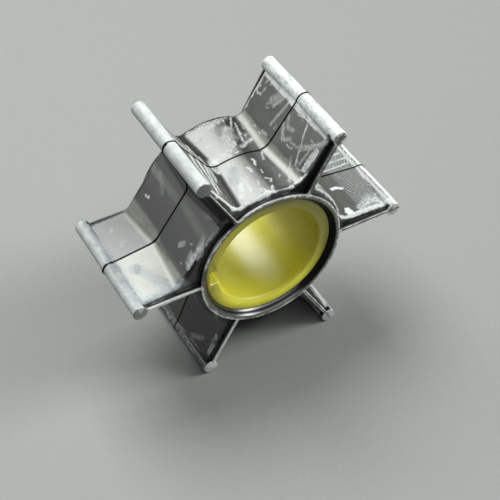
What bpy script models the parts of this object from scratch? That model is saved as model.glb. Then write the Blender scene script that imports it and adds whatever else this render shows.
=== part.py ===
"""Flexible rubber impeller of an outboard water pump, resting on two of its vanes.

Metres, +Z up. The shaft's axis is the Y axis, the face with the keyway seen first looks to -Y,
and the origin is the middle of the bore. Six vanes stand on a moulded hub, 60 degrees apart,
and a yellow plastic insert with a keyway lines the hub.
"""
import math

import bmesh
import bpy
from mathutils import Matrix, Vector

# Driving dimensions of the moulding
VANE_COUNT = 6
LENGTH = 0.0250
TIP_RADIUS = 0.0280
BEAD_RADIUS = 0.0014
HUB_RADIUS = 0.0155
RIM_RADIUS = 0.0146
HUB_HOLE_RADIUS = 0.0132
MOUTH_RADIUS = 0.01375
RIB_THICKNESS = 0.00065

# The body stands back behind the sealing ribs and ends in a rounded shoulder
SHOULDER_SETBACK = 0.0010
SHOULDER_LENGTH = 0.0009
HUB_SHOULDER_DROP = 0.00085
VANE_SHOULDER_DROP = 0.00042

# Half thickness of a vane: thickest at mid-length, where the two mould halves met
MIDDLE_HALF_TIP = 0.00120
MIDDLE_HALF_ROOT = 0.00220
END_HALF_TIP = 0.00070
END_HALF_ROOT = 0.00125
ROOT_FILLET = 0.0026

# The floor of one valley is flat, and touches the hub's circle at this angle
FLAT_VALLEY = 2
FLAT_ANGLE = math.radians(144.2)

# Thin ridge that the joint of the mould left round the whole body
FLASH_HEIGHT = 0.00015
FLASH_HALF_WIDTH = 0.00012

# The ridge grows into a small nib at each vane's tip
NIB_HEIGHT = 0.00015
NIB_SPREAD = math.radians(30.0)

# Driving dimensions of the insert
INSERT_RADIUS = 0.0129
BORE_RADIUS = 0.0105
INSERT_RECESS = 0.0011
INSERT_CHAMFER = 0.00035
KEYWAY_WIDTH = 0.0030
KEYWAY_FLOOR_RADIUS = 0.0121
KEYWAY_ANGLE = 180.0

# Fineness of the solids
BEAD_STEPS = 9
ROUND_SIDES = 72
FILLET_STEPS = 4
HUB_ARC_STEPS = 4
CUTTER_OVERRUN = 0.002
WELD_DISTANCE = 0.000001

BEAD_CENTRE_RADIUS = TIP_RADIUS - BEAD_RADIUS
VANE_PITCH = 2.0 * math.pi / VANE_COUNT


def clear_scene():
    """Take away whatever the file opened with."""
    for old in list(bpy.data.objects):
        bpy.data.objects.remove(old, do_unlink=True)


def make_collection(name):
    collection = bpy.data.collections.new(name)
    bpy.context.scene.collection.children.link(collection)
    return collection


def make_material(name, colour, roughness, metallic):
    material = bpy.data.materials.new(name)
    material.use_nodes = True
    shader = material.node_tree.nodes["Principled BSDF"]
    shader.inputs["Base Color"].default_value = (*colour, 1.0)
    shader.inputs["Roughness"].default_value = roughness
    shader.inputs["Metallic"].default_value = metallic
    material.diffuse_color = (*colour, 1.0)
    return material


def add_mesh_object(name, shape, collection):
    """Turn a bmesh into an object of the given collection."""
    mesh = bpy.data.meshes.new(name)
    shape.to_mesh(mesh)
    shape.free()
    made = bpy.data.objects.new(name, mesh)
    collection.objects.link(made)
    return made


def hide_as_guide(guide):
    guide.hide_render = True
    guide.display_type = "WIRE"


def vane_side(hub_radius, half_tip, half_root, lean=None):
    """Points of one side of a vane that points to +X, from its tip down to the hub.

    The face tapers in a straight line and runs into the hub through a round fillet. Lean is the
    angle from the vane to the normal of the valley's floor, where that floor is flat.
    """
    root_x = hub_radius + ROOT_FILLET
    slope = (half_root - half_tip) / (BEAD_CENTRE_RADIUS - root_x)
    slant = math.hypot(1.0, slope)
    raised = half_root + ROOT_FILLET * slant + slope * root_x
    # The fillet's centre lies on the raised line, and as far off the hub as the fillet is round
    if lean is None:
        half_b = slope * raised / (1.0 + slope * slope)
        constant = (raised * raised - root_x * root_x) / (1.0 + slope * slope)
        centre_x = half_b + math.sqrt(half_b * half_b - constant)
        foot = Vector((centre_x, raised - slope * centre_x))
    else:
        centre_x = (root_x - raised * math.sin(lean)) / (math.cos(lean) - slope * math.sin(lean))
        foot = Vector((math.cos(lean), math.sin(lean)))
    centre = Vector((centre_x, raised - slope * centre_x))
    start = math.atan2(-1.0, -slope)
    end = math.atan2(-foot.y, -foot.x)
    points = [Vector((BEAD_CENTRE_RADIUS, half_tip))]
    for step in range(FILLET_STEPS + 1):
        angle = start + (end - start) * step / FILLET_STEPS
        points.append(centre + ROOT_FILLET * Vector((math.cos(angle), math.sin(angle))))
    return points


def bead_side(half_rib, bead_radius, nib_height=0.0):
    """Points of the upper half of a vane's round bead, from its outermost point to its rib.

    A nib stands on the outermost point and fades out to both sides.
    """
    last = math.pi - math.asin(half_rib / bead_radius)
    points = []
    for step in range(BEAD_STEPS + 1):
        angle = last * step / BEAD_STEPS
        fade = math.cos(min(angle / NIB_SPREAD, 1.0) * math.pi / 2) ** 2
        around = Vector((math.cos(angle), math.sin(angle)))
        points.append(Vector((BEAD_CENTRE_RADIUS, 0.0)) + (bead_radius + nib_height * fade) * around)
    return points


def mirrored(side):
    """The side of a vane on the other side of its middle plane, from the hub to the tip."""
    return [Vector((point.x, -point.y)) for point in reversed(side) if point.y > 0.0]


def round_floor(foot):
    """Points between a vane's foot and the next vane's, on a round arc."""
    first = math.atan2(foot.y, foot.x)
    points = []
    for step in range(1, HUB_ARC_STEPS):
        angle = first + (VANE_PITCH - 2.0 * first) * step / HUB_ARC_STEPS
        points.append(foot.length * Vector((math.cos(angle), math.sin(angle))))
    return points


def flat_floor(foot, next_foot):
    """Points between a vane's foot and the next vane's, on a straight line."""
    last = Matrix.Rotation(VANE_PITCH, 2) @ Vector((next_foot.x, -next_foot.y))
    return [foot.lerp(last, step / HUB_ARC_STEPS) for step in range(1, HUB_ARC_STEPS)]


def whole_outline(side, flat_sides=None):
    """Closed outline of hub and vanes as (x, z) points, from one side of a vane at +X.

    The side starts at the vane's tip, where a point on the vane's middle plane isn't doubled,
    and ends on the hub, where the valley's floor leads to the next vane. The two flat sides
    stand at the ends of the flat floor.
    """
    rising = [side] * VANE_COUNT
    falling = [side] * VANE_COUNT
    floors = [round_floor(side[-1])] * VANE_COUNT
    if flat_sides:
        falling[FLAT_VALLEY], rising[FLAT_VALLEY + 1] = flat_sides
        floors[FLAT_VALLEY] = flat_floor(flat_sides[0][-1], flat_sides[1][-1])
    outline = []
    for index in range(VANE_COUNT):
        turn = Matrix.Rotation(index * VANE_PITCH, 2)
        outline.extend(turn @ point for point in mirrored(rising[index]) + falling[index] + floors[index])
    return outline


def flat_sides(hub_radius, half_tip, half_root):
    """The sides of the two vanes that stand at the ends of the flat floor."""
    leans = (FLAT_ANGLE - FLAT_VALLEY * VANE_PITCH, (FLAT_VALLEY + 1) * VANE_PITCH - FLAT_ANGLE)
    return [vane_side(hub_radius, half_tip, half_root, lean) for lean in leans]


def body_outline(hub_drop, vane_drop, half_tip, half_root):
    """Outline of the body, where the shoulder has lowered the hub and the vanes so much."""
    sizes = (HUB_RADIUS - hub_drop, half_tip - vane_drop, half_root - vane_drop)
    return whole_outline(vane_side(*sizes), flat_sides(*sizes))


def web_outline():
    """Outline of the parts that run the whole length: rim, sealing ribs and beads."""
    half_rib = RIB_THICKNESS / 2
    rib_foot = Vector((math.sqrt(RIM_RADIUS ** 2 - half_rib ** 2), half_rib))
    return whole_outline(bead_side(half_rib, BEAD_RADIUS) + [rib_foot])


def flash_outline():
    """Outline of the thin ridge that follows body and beads at mid-length."""
    sizes = (HUB_RADIUS + FLASH_HEIGHT, MIDDLE_HALF_TIP + FLASH_HEIGHT, MIDDLE_HALF_ROOT + FLASH_HEIGHT)
    bead = bead_side(sizes[1], BEAD_RADIUS + FLASH_HEIGHT, NIB_HEIGHT)
    tip = [point for point in bead if point.x > BEAD_CENTRE_RADIUS]
    return whole_outline(tip + vane_side(*sizes), [tip + side for side in flat_sides(*sizes)])


def body_sections():
    """The sections of one half of the body, as (distance from mid-length, outline)."""
    straight_end = LENGTH / 2 - SHOULDER_SETBACK - SHOULDER_LENGTH
    sections = [(0.0, body_outline(0.0, 0.0, MIDDLE_HALF_TIP, MIDDLE_HALF_ROOT))]
    for turned in (0.0, math.radians(50.0), math.radians(90.0)):
        drop = 1.0 - math.cos(turned)
        outline = body_outline(
            HUB_SHOULDER_DROP * drop, VANE_SHOULDER_DROP * drop, END_HALF_TIP, END_HALF_ROOT)
        sections.append((straight_end + SHOULDER_LENGTH * math.sin(turned), outline))
    return sections


def loft(name, stations, collection):
    """A closed solid through outlines of equally many points, one at each station along Y."""
    shape = bmesh.new()
    rings = []
    for y, outline in stations:
        rings.append([shape.verts.new((point.x, y, point.y)) for point in outline])
    for near, far in zip(rings, rings[1:]):
        for index, corner in enumerate(near):
            shape.faces.new((near[index - 1], corner, far[index], far[index - 1]))
    shape.faces.new(rings[0])
    shape.faces.new(rings[-1])
    bmesh.ops.recalc_face_normals(shape, faces=shape.faces)
    return add_mesh_object(name, shape, collection)


def add_boolean(target, tool, operation):
    modifier = target.modifiers.new(f"{operation.lower()}_{tool.name}", "BOOLEAN")
    modifier.operation = operation
    modifier.object = tool
    modifier.solver = "EXACT"
    hide_as_guide(tool)


def spin_section(section):
    """A closed solid turned about the shaft's axis from (radius, y) points."""
    shape = bmesh.new()
    corners = [shape.verts.new((radius, y, 0.0)) for radius, y in section]
    edges = [shape.edges.new(pair) for pair in zip(corners, corners[1:])]
    if section[0][0] > 0.0:
        edges.append(shape.edges.new((corners[-1], corners[0])))
    bmesh.ops.spin(
        shape, geom=corners + edges, cent=(0.0, 0.0, 0.0), axis=(0.0, 1.0, 0.0),
        angle=2.0 * math.pi, steps=ROUND_SIDES, use_merge=True)
    bmesh.ops.remove_doubles(shape, verts=shape.verts, dist=WELD_DISTANCE)
    bmesh.ops.recalc_face_normals(shape, faces=shape.faces)
    return shape


def make_hub_hole(collection):
    """Cutter for the round hole that the insert fills, with a flared mouth at both ends."""
    flare = (MOUTH_RADIUS - HUB_HOLE_RADIUS) / INSERT_RECESS
    overrun = LENGTH / 2 + CUTTER_OVERRUN
    half = [
        (HUB_HOLE_RADIUS, LENGTH / 2 - INSERT_RECESS),
        (MOUTH_RADIUS + flare * CUTTER_OVERRUN, overrun),
        (0.0, overrun),
    ]
    section = [(radius, -y) for radius, y in reversed(half)] + half
    return add_mesh_object("hub_hole_cutter", spin_section(section), collection)


def make_moulding(parts, cutters, rubber):
    """The one-piece rubber moulding: body, sealing ribs, beads and rim, bored for the insert."""
    half = body_sections()
    moulding = loft("rubber_moulding", [(-y, outline) for y, outline in reversed(half)] + half[1:], parts)
    moulding.data.materials.append(rubber)
    for name, outline, half_length in (
            ("web_stock", web_outline(), LENGTH / 2),
            ("flash_stock", flash_outline(), FLASH_HALF_WIDTH)):
        slab = loft(name, [(-half_length, outline), (half_length, outline)], cutters)
        add_boolean(moulding, slab, "UNION")
    add_boolean(moulding, make_hub_hole(cutters), "DIFFERENCE")
    return moulding


def insert_profile():
    """Section of the insert as (radius, y) points, round from the outer side."""
    end = LENGTH / 2 - INSERT_RECESS
    return [
        (INSERT_RADIUS, -end),
        (INSERT_RADIUS, end),
        (BORE_RADIUS + INSERT_CHAMFER, end),
        (BORE_RADIUS, end - INSERT_CHAMFER),
        (BORE_RADIUS, -end + INSERT_CHAMFER),
        (BORE_RADIUS + INSERT_CHAMFER, -end),
    ]


def make_insert(parts, cutters, plastic):
    """The yellow lining of the hub: a turned ring with one keyway along its whole length."""
    insert = add_mesh_object("hub_insert", spin_section(insert_profile()), parts)
    insert.data.materials.append(plastic)

    inner = BORE_RADIUS - CUTTER_OVERRUN
    depth = KEYWAY_FLOOR_RADIUS - inner
    slot = bmesh.new()
    size = Matrix.Diagonal((depth, LENGTH, KEYWAY_WIDTH, 1.0))
    middle = Matrix.Translation((inner + depth / 2, 0.0, 0.0))
    turn = Matrix.Rotation(-math.radians(KEYWAY_ANGLE), 4, "Y")
    bmesh.ops.create_cube(slot, size=1.0, matrix=turn @ middle @ size)
    keyway = add_mesh_object("keyway_cutter", slot, cutters)
    add_boolean(insert, keyway, "DIFFERENCE")
    return insert


def main():
    clear_scene()
    parts = make_collection("outboard_water_pump_impeller")
    cutters = make_collection("cutters")
    rubber = make_material("black_rubber_with_chalk", (0.115, 0.118, 0.112), 0.50, 0.0)
    plastic = make_material("yellow_plastic", (0.46, 0.42, 0.03), 0.25, 0.0)
    for solid in (make_moulding(parts, cutters, rubber), make_insert(parts, cutters, plastic)):
        solid.data.shade_smooth()
        solid.data.set_sharp_from_angle(angle=math.radians(30.0))


main()
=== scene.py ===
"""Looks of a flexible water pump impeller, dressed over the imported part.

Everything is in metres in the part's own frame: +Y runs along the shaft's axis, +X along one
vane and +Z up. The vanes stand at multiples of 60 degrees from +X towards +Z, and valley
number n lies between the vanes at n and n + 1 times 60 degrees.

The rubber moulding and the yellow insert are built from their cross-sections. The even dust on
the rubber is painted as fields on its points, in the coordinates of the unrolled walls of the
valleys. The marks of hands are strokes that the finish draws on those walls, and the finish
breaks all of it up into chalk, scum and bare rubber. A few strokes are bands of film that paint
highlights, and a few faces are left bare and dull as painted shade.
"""
from __future__ import annotations

import logging
import math
from dataclasses import dataclass
from enum import Enum
from typing import Iterator, Sequence

import bmesh
import bpy
import numpy as np
from bmesh.types import BMEdge, BMesh, BMVert
from bpy.types import Material, Mesh, Node, NodeSocket, NodeTree, Object
from mathutils import Matrix, Vector

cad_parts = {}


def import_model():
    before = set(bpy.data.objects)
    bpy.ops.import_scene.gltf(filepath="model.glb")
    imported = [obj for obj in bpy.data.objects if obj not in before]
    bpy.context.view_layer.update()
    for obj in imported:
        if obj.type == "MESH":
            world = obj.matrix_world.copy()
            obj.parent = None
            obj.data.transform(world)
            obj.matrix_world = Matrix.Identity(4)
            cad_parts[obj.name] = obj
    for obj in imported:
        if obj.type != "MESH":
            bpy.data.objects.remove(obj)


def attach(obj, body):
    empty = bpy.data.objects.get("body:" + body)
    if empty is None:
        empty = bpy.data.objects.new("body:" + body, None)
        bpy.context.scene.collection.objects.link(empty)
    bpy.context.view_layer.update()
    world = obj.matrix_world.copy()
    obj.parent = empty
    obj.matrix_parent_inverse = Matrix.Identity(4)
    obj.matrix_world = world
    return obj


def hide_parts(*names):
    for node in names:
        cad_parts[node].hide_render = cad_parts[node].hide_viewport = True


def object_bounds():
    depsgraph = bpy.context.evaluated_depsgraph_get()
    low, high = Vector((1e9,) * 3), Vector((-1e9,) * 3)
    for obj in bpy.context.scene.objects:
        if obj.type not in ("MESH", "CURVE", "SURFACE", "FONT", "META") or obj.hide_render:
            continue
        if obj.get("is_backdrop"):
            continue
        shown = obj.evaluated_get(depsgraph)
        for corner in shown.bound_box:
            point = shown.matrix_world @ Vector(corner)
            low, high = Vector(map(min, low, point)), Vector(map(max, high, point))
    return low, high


LOG = logging.getLogger("impeller")
WALL_MAP = "walls"
# Millimetres between the middles of two unrolled valleys in the UV map
WALL_SPACING = 50.0
MM = 0.001
WELD = 0.000002
CREASE_ANGLE = math.radians(38.0)
FULL_TURN = 2.0 * math.pi
# Operations on vectors whose result is a number
NUMBER_RESULTS = ("DOT_PRODUCT", "LENGTH", "DISTANCE")

Colour = tuple[float, float, float, float]
Edges = list[BMEdge]


@dataclass
class Pen:
    """Draws an outline in one cross-section of a piece, from a point on its +X or -X axis.

    Args:
        shape: The mesh that holds the outline.
        along: Distance of the cross-section from mid-length.
        start: Where the outline starts on the X axis.
    """

    shape: BMesh
    along: float
    start: float

    def __post_init__(self) -> None:
        """Sets the first corner."""
        self.before = set(self.shape.edges)
        self.corner = self.shape.verts.new((self.start, self.along, 0.0))

    def arc(self, x: float, z: float, angle: float, steps: int) -> None:
        """Turns the last corner round a centre.

        Args:
            x: Place of the centre.
            z: Height of the centre.
            angle: Angle of the arc in radians, positive from +X towards +Z.
            steps: Number of edges in the arc.
        """
        turn = {"cent": (x, self.along, z), "axis": (0.0, -1.0, 0.0), "angle": angle, "steps": steps}
        spun = bmesh.ops.spin(self.shape, geom=[self.corner], use_merge=False, **turn)
        self.corner = next(item for item in spun["geom_last"] if isinstance(item, BMVert))

    def line(self, x: float, z: float, steps: int) -> None:
        """Runs straight on to a point.

        Args:
            x: Place of the point.
            z: Height of the point.
            steps: Number of edges in the line.
        """
        stride = (Vector((x, self.along, z)) - self.corner.co) / steps
        for _ in range(steps):
            self.corner = bmesh.ops.extrude_vert_indiv(self.shape, verts=[self.corner])["verts"][0]
            bmesh.ops.translate(self.shape, verts=[self.corner], vec=stride)

    def angle(self) -> float:
        """Gives the angle of the last corner round the shaft's axis."""
        return math.atan2(self.corner.co.z, self.corner.co.x)

    def edges(self) -> Edges:
        """Lists the edges drawn so far."""
        return [edge for edge in self.shape.edges if edge not in self.before]


def loft(shape: BMesh, outlines: Sequence[Edges]) -> None:
    """Bridges each outline to the next one."""
    for near, far in zip(outlines, outlines[1:]):
        bmesh.ops.bridge_loops(shape, edges=near + far)


def mirror(shape: BMesh, axis: str) -> None:
    """Adds the mirror image of the whole shape in the plane square to an axis."""
    everything = shape.verts[:] + shape.edges[:] + shape.faces[:]
    bmesh.ops.mirror(shape, geom=everything, matrix=Matrix.Identity(4), merge_dist=WELD, axis=axis)


def make_mesh(shape: BMesh, name: str) -> Mesh:
    """Turns a shape into a mesh.

    Args:
        shape: The finished shape, which is used up.
        name: Name of the mesh.

    Returns:
        The mesh.
    """
    mesh = bpy.data.meshes.new(name)
    shape.to_mesh(mesh)
    shape.free()
    return mesh


def show(name: str, data: bpy.types.ID) -> Object:
    """Puts an object in the scene.

    Args:
        name: Name of the object.
        data: Its mesh, light or camera.

    Returns:
        The object.
    """
    shown = bpy.data.objects.new(name, data)
    bpy.context.scene.collection.objects.link(shown)
    return shown


def finish_shell(shape: BMesh, name: str) -> Object:
    """Turns a closed shell into a shown piece with smooth faces.

    Args:
        shape: The finished shell, which is used up.
        name: Name of the piece.

    Returns:
        The piece.
    """
    bmesh.ops.remove_doubles(shape, verts=shape.verts, dist=WELD)
    bmesh.ops.dissolve_degenerate(shape, edges=shape.edges, dist=WELD)
    bmesh.ops.recalc_face_normals(shape, faces=shape.faces)
    piece = show(name, make_mesh(shape, name))
    piece.data.shade_smooth()
    piece.data.set_sharp_from_angle(angle=CREASE_ANGLE)
    return piece


def ease(values: np.ndarray) -> np.ndarray:
    """Clips values to 0 and 1 and eases them in between."""
    held = np.clip(values, 0.0, 1.0)
    return held * held * (3.0 - 2.0 * held)


@dataclass(frozen=True)
class Section:
    """One cross-section of half a vane and half a valley.

    Args:
        along: Distance from mid-length along the shaft's axis.
        hub: Radius of the hub.
        half_tip: Half thickness of the vane at its bead.
        half_root: Half thickness of the vane at its root.
        bead: Radius of the bead.
        nib: Height of the nib on the bead's outermost line.
    """

    along: float
    hub: float
    half_tip: float
    half_root: float
    bead: float
    nib: float = 0.0


@dataclass
class RubberMoulding:
    """The one-piece rubber moulding: hub, six vanes with beads and sealing ribs, and two rims.

    Half a vane and half a valley are lofted along half the length, and that piece is mirrored
    and turned round the shaft's axis. All sizes are in metres.
    """

    vane_count: int = 6
    half_length: float = 0.0125
    bead_centre: float = 0.0266
    bead_radius: float = 0.0014
    hub_radius: float = 0.0155
    rim_radius: float = 0.0146
    mouth_radius: float = 0.01375
    throat_radius: float = 0.01296
    throat_depth: float = 0.0011
    rib_half: float = 0.000325
    rib_outer: float = 0.02525
    rib_inner: float = 0.0173
    rib_foot: float = 0.0151
    root_fillet: float = 0.0026
    shoulder_setback: float = 0.0010
    shoulder_length: float = 0.0009
    hub_drop: float = 0.00085
    vane_drop_tip: float = 0.00036
    vane_drop_root: float = 0.00042
    half_tip_middle: float = 0.00120
    half_tip_end: float = 0.00070
    half_root_middle: float = 0.00220
    half_root_end: float = 0.00125
    flat_valley: int = 2
    flat_angle: float = math.radians(144.2)
    joint_end: float = 0.0003
    ridge_height: float = 0.00015
    nib_height: float = 0.00013
    nib_spread: float = math.radians(32.0)
    edge_round: float = 0.00010
    corner_fillet: float = 0.00035
    row_step: float = 0.00036
    bead_steps: int = 14
    flank_steps: int = 24
    fillet_steps: int = 10
    hub_steps: int = 10
    foot_steps: int = 3
    corner_steps: int = 4

    @property
    def pitch(self) -> float:
        """Angle between two vanes."""
        return FULL_TURN / self.vane_count

    @property
    def straight_end(self) -> float:
        """Distance from mid-length at which the shoulder starts."""
        return self.half_length - self.shoulder_setback - self.shoulder_length

    @property
    def rim_steps(self) -> int:
        """Number of edges of the rim's arc, so that rim and body have as many edges."""
        return self.fillet_steps + self.hub_steps - self.foot_steps - self.corner_steps

    def fillet_arc(self, section: Section, lean: float | None = None) -> tuple[Vector, float, float, float]:
        """Works out the fillet between a vane's tapered face and the valley's floor.

        Args:
            section: The cross-section in question.
            lean: Angle from the vane to the normal of the floor where that floor is flat.

        Returns:
            The fillet's centre as (x, z), its first and last angle, and the face's slope.
        """
        root = section.hub + self.root_fillet
        slope = (section.half_root - section.half_tip) / (self.bead_centre - root)
        slant = math.hypot(1.0, slope)
        raised = section.half_root + self.root_fillet * slant + slope * root
        if lean is None:
            half_b = slope * raised / (1.0 + slope * slope)
            rest = (raised * raised - root * root) / (1.0 + slope * slope)
            across = half_b + math.sqrt(half_b * half_b - rest)
        else:
            across = (root - raised * math.sin(lean)) / (math.cos(lean) - slope * math.sin(lean))
        centre = Vector((across, raised - slope * across))
        foot = centre if lean is None else Vector((math.cos(lean), math.sin(lean)))
        return centre, math.atan2(-1.0, -slope), math.atan2(-foot.y, -foot.x), slope

    def bead_end(self, half_tip: float, slope: float, radius: float) -> float:
        """Finds where a vane's face meets its bead.

        Args:
            half_tip: Half thickness of the vane at the bead's centre line.
            slope: Taper of the vane's face.
            radius: Radius of the bead.

        Returns:
            The angle round the bead's centre, in radians from the tip.
        """
        scale = 1.0 + slope * slope
        half_b = half_tip * slope
        depth = (math.sqrt(half_b * half_b - scale * (half_tip**2 - radius**2)) - half_b) / scale
        return math.atan2(half_tip + slope * depth, -depth)

    def draw_body(self, shape: BMesh, section: Section, lean: float | None) -> Edges:
        """Draws the body's outline from the vane's tip to the middle of the valley.

        Args:
            shape: The mesh under construction.
            section: The cross-section to draw.
            lean: Angle from the vane to the normal of the floor where that floor is flat.

        Returns:
            The edges of the outline.
        """
        centre, first, last, slope = self.fillet_arc(section, lean)
        pen = Pen(shape, section.along, self.bead_centre + section.bead)
        turned = self.bead_end(section.half_tip, slope, section.bead)
        pen.arc(self.bead_centre, 0.0, turned, self.bead_steps)
        start = centre + self.root_fillet * Vector((math.cos(first), math.sin(first)))
        pen.line(*start, self.flank_steps)
        pen.arc(*centre, last - first, self.fillet_steps)
        middle = self.pitch / 2.0
        if lean is None:
            pen.arc(0.0, 0.0, middle - pen.angle(), self.hub_steps)
        else:
            reach = section.hub / math.cos(middle - lean)
            pen.line(reach * math.cos(middle), reach * math.sin(middle), self.hub_steps)
        if section.nib > 0.0:
            self.raise_nib(shape, section)
        return pen.edges()

    def raise_nib(self, shape: BMesh, section: Section) -> None:
        """Lifts the outermost corners of a bead into the nib that the mould's joint left.

        Args:
            shape: The mesh under construction.
            section: The cross-section that was just drawn.
        """
        middle = Vector((self.bead_centre, section.along, 0.0))
        for corner in shape.verts:
            arm = corner.co - middle
            if abs(arm.y) > WELD or arm.length > section.bead + WELD:
                continue
            share = min(math.atan2(arm.z, arm.x) / self.nib_spread, 1.0)
            lift = section.nib * math.cos(share * math.pi / 2.0) ** 2
            bmesh.ops.translate(shape, verts=[corner], vec=arm.normalized() * lift)

    def draw_web(self, shape: BMesh, along: float, inset: float) -> Edges:
        """Draws the outline of bead, sealing rib and rim, which stand in front of the body.

        Args:
            shape: The mesh under construction.
            along: Distance from mid-length.
            inset: How far the rounded edge has pulled the outline in.

        Returns:
            The edges of the outline.
        """
        half = self.rib_half - inset
        bead = self.bead_radius - max(inset, 0.0)
        raised = half + self.corner_fillet
        foot = math.sqrt((self.rim_radius - inset + self.corner_fillet) ** 2 - raised**2)
        pen = Pen(shape, along, self.bead_centre + bead)
        pen.arc(self.bead_centre, 0.0, math.pi - math.asin(half / bead), self.bead_steps)
        pen.line(self.rib_inner, half, self.flank_steps)
        pen.line(foot, half, self.foot_steps)
        pen.arc(foot, raised, -math.atan2(foot, raised), self.corner_steps)
        pen.arc(0.0, 0.0, self.pitch / 2.0 - pen.angle(), self.rim_steps)
        return pen.edges()

    def draw_face(self, shape: BMesh) -> tuple[Edges, Edges]:
        """Draws the inner outline of the end face: the vane's middle plane and the mouth.

        Args:
            shape: The mesh under construction.

        Returns:
            All edges of the outline, and those of the mouth's arc alone.
        """
        pen = Pen(shape, self.half_length, self.bead_centre + self.bead_radius - self.edge_round)
        pen.line(self.rib_outer, 0.0, self.bead_steps)
        pen.line(self.rib_inner, 0.0, self.flank_steps)
        pen.line(self.rib_foot, 0.0, self.foot_steps)
        pen.line(self.mouth_radius + self.edge_round, 0.0, self.corner_steps)
        straight = set(shape.edges)
        pen.arc(0.0, 0.0, self.pitch / 2.0, self.rim_steps)
        return pen.edges(), [edge for edge in shape.edges if edge not in straight]

    def body_sections(self) -> list[Section]:
        """Lists the body's cross-sections.

        Returns:
            The cross-sections from the mould's joint to the end of the shoulder.
        """
        # Near the joint: distance from mid-length, share of the ridge and share of the nib
        joint = (
            (0.0, 1.0, 1.0),
            (0.00007, 0.95, 0.95),
            (0.00012, 0.35, 0.75),
            (0.00017, 0.0, 0.45),
            (0.00024, 0.0, 0.12),
        )
        sections = []
        for along, ridge, nib in joint:
            sections.append(self.drafted(along, ridge * self.ridge_height, nib * self.nib_height))
        rows = round(self.straight_end / self.row_step)
        for row in range(1, rows + 1):
            sections.append(self.drafted(max(self.straight_end * row / rows, self.joint_end)))
        # The shoulder is a quarter of an ellipse
        for turned in range(15, 91, 15):
            drop = 1.0 - math.cos(math.radians(turned))
            sections.append(
                Section(
                    along=self.straight_end + self.shoulder_length * math.sin(math.radians(turned)),
                    hub=self.hub_radius - self.hub_drop * drop,
                    half_tip=self.half_tip_end - self.vane_drop_tip * drop,
                    half_root=self.half_root_end - self.vane_drop_root * drop,
                    bead=self.bead_radius,
                )
            )
        return sections

    def drafted(self, along: float, lift: float = 0.0, nib: float = 0.0) -> Section:
        """Gives the cross-section of the straight part, where the vanes thin out with the draft.

        Args:
            along: Distance from mid-length.
            lift: How far the ridge of the mould's joint stands up.
            nib: Height of the nib on the bead.

        Returns:
            The cross-section.
        """
        share = along / self.straight_end
        half_tip = self.half_tip_middle + (self.half_tip_end - self.half_tip_middle) * share
        half_root = self.half_root_middle + (self.half_root_end - self.half_root_middle) * share
        sizes = (self.hub_radius, half_tip, half_root, self.bead_radius)
        return Section(along, *(size + lift for size in sizes), nib)

    def build(self) -> Object:
        """Builds the whole moulding.

        Returns:
            The piece, without its dust and finish.
        """
        leans = {
            (self.flat_valley, 1): self.flat_angle - self.flat_valley * self.pitch,
            (self.flat_valley + 1, -1): (self.flat_valley + 1) * self.pitch - self.flat_angle,
        }
        shape = bmesh.new()
        halves = {lean: self.draw_half(lean) for lean in (None, *leans.values())}
        for vane in range(self.vane_count):
            for side in (1, -1):
                self.place_half(shape, halves[leans.get((vane, side))], vane, side)
        for half in halves.values():
            bpy.data.meshes.remove(half)
        return finish_shell(shape, "rubber_impeller")

    def place_half(self, shape: BMesh, half: Mesh, vane: int, side: int) -> None:
        """Adds half a vane with half a valley at its place.

        Args:
            shape: The mesh under construction.
            half: The half to add.
            vane: Number of the vane.
            side: 1 for the half towards the next vane, -1 for the half towards the one before.
        """
        first = len(shape.verts)
        shape.from_mesh(half)
        corners = shape.verts[first:]
        bmesh.ops.scale(shape, vec=(1.0, 1.0, float(side)), verts=corners)
        turn = Matrix.Rotation(-vane * self.pitch, 3, "Y")
        bmesh.ops.rotate(shape, cent=(0.0, 0.0, 0.0), matrix=turn, verts=corners)

    def draw_half(self, lean: float | None) -> Mesh:
        """Lofts half a vane and half a valley over the whole length.

        Args:
            lean: Angle from the vane to the normal of the floor where that floor is flat.

        Returns:
            The half, open where the next ones join it.
        """
        shape = bmesh.new()
        outlines = [self.draw_body(shape, section, lean) for section in self.body_sections()]
        body_end = self.half_length - self.shoulder_setback
        round_start = self.half_length - self.edge_round
        # A small fillet leads from the body onto the ribs, which run straight to their rounded edge
        rows = [(body_end + 0.00001, -0.00006), (body_end + 0.00007, 0.0)]
        rows += [(body_end + (round_start - body_end) * (row / 3.0), 0.0) for row in (1, 2, 3)]
        for turned in (30.0, 60.0, 90.0):
            inset = self.edge_round * (1.0 - math.cos(math.radians(turned)))
            rows.append((round_start + self.edge_round * math.sin(math.radians(turned)), inset))
        outlines += [self.draw_web(shape, along, inset) for along, inset in rows]
        face, arc = self.draw_face(shape)
        loft(shape, outlines + [face])
        self.line_mouth(shape, arc)
        mirror(shape, "Y")
        return make_mesh(shape, "half_vane")

    def line_mouth(self, shape: BMesh, arc: Edges) -> None:
        """Runs the wall of the hub's hole in from the mouth to mid-length.

        Args:
            shape: The mesh under construction.
            arc: The edges of the mouth's arc on the end face.
        """
        edges = arc
        radius = self.mouth_radius + self.edge_round
        along = self.half_length
        depth = self.half_length - self.throat_depth
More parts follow.
